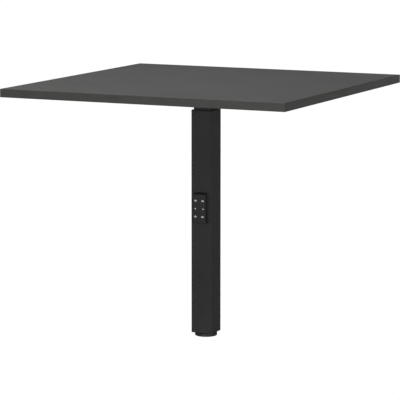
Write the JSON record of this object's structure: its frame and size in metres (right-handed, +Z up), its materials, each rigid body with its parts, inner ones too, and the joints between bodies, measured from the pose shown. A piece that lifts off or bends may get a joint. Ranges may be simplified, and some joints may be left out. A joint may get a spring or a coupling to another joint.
{
  "type": "standing desk",
  "caption": "Square tabletop on a central telescopic lifting column, with a round levelling foot and a front bracket for a crossbeam.",
  "frame": {"origin": "on the floor under the column's axis, at the centre of the foot's underside", "axes": "+Z up; the bracket for the crossbeam faces -Y; +X along the front edge of the top"},
  "size_m": [0.8, 0.8, 0.6875],
  "materials": {
    "anthracite_melamine": "chipboard with a dark grey, finely grained melamine face",
    "anthracite_edge": "dark grey plastic edge band, satin",
    "black_powder_coat": "fine-textured black powder coat",
    "black_plastic": "moulded, fine spark texture",
    "white_plastic": "moulded acetal, natural",
    "zinc_plate": "bright zinc plate",
    "bare_steel": "plain drawn steel, oiled",
    "bearing_steel": "ground bearing steel",
    "cast_aluminium": "die-cast, shot-blasted",
    "contact_brass": "tinned brass"
  },
  "bodies": {
    "column_base": {"outer_tube": "black_powder_coat", "guide_collar": "black_plastic", "bottom_plate": "bare_steel", "push_tube": "bare_steel", "spindle_nut": "white_plastic", "nut_pins": "bare_steel", "beam_bracket": "black_powder_coat", "bracket_nut_plate": "bare_steel", "bracket_screws": "zinc_plate", "bracket_rivets": "zinc_plate", "bracket_welds": "black_powder_coat"},
    "lift_column": {"tabletop_board": "anthracite_melamine", "edge_band_front": "anthracite_edge", "edge_band_back": "anthracite_edge", "edge_band_left": "anthracite_edge", "edge_band_right": "anthracite_edge", "mounting_plate": "black_powder_coat", "mounting_plate_screws": "zinc_plate", "head_flange": "black_powder_coat", "head_weld": "black_powder_coat", "head_screws": "zinc_plate", "inner_tube": "black_powder_coat", "glide_sleeve": "black_plastic", "bearing_block": "cast_aluminium", "block_screws": "zinc_plate", "thrust_bearing": "bearing_steel", "gearbox": "cast_aluminium", "gearbox_screws": "zinc_plate", "motor": "bare_steel", "motor_socket": "black_plastic", "socket_pins": "contact_brass", "socket_screws": "zinc_plate"},
    "spindle_set": {"spindle": "bare_steel", "drive_coupling": "bare_steel", "spindle_stop": "bare_steel", "stop_screw": "zinc_plate"},
    "foot_glide": {"foot_disc": "black_plastic"},
    "foot_screw": {"foot_stem": "zinc_plate"}
  },
  "joints": [
    {"name": "column_lift", "type": "slide", "parent": "column_base", "child": "lift_column", "axis": [0, 0, 1], "range_m": [0, 0.44]},
    {"name": "spindle_turn", "type": "hinge", "parent": "lift_column", "child": "spindle_set", "pos_m": [0, 0, 0.5], "axis": [0, 0, 1], "range_deg": [0, 15840]},
    {"name": "foot_level", "type": "slide", "parent": "column_base", "child": "foot_glide", "axis": [0, 0, -1], "range_m": [0, 0.012]},
    {"name": "foot_stem_turn", "type": "hinge", "parent": "foot_glide", "child": "foot_screw", "pos_m": [0, 0, 0.01], "axis": [0, 0, -1], "range_deg": [0, 2881]}
  ],
  "couplings": [
    {"joint": "spindle_turn", "follows": "column_lift", "rad_per_m": 628.32},
    {"joint": "foot_stem_turn", "follows": "foot_level", "rad_per_m": 4188.8}
  ]
}
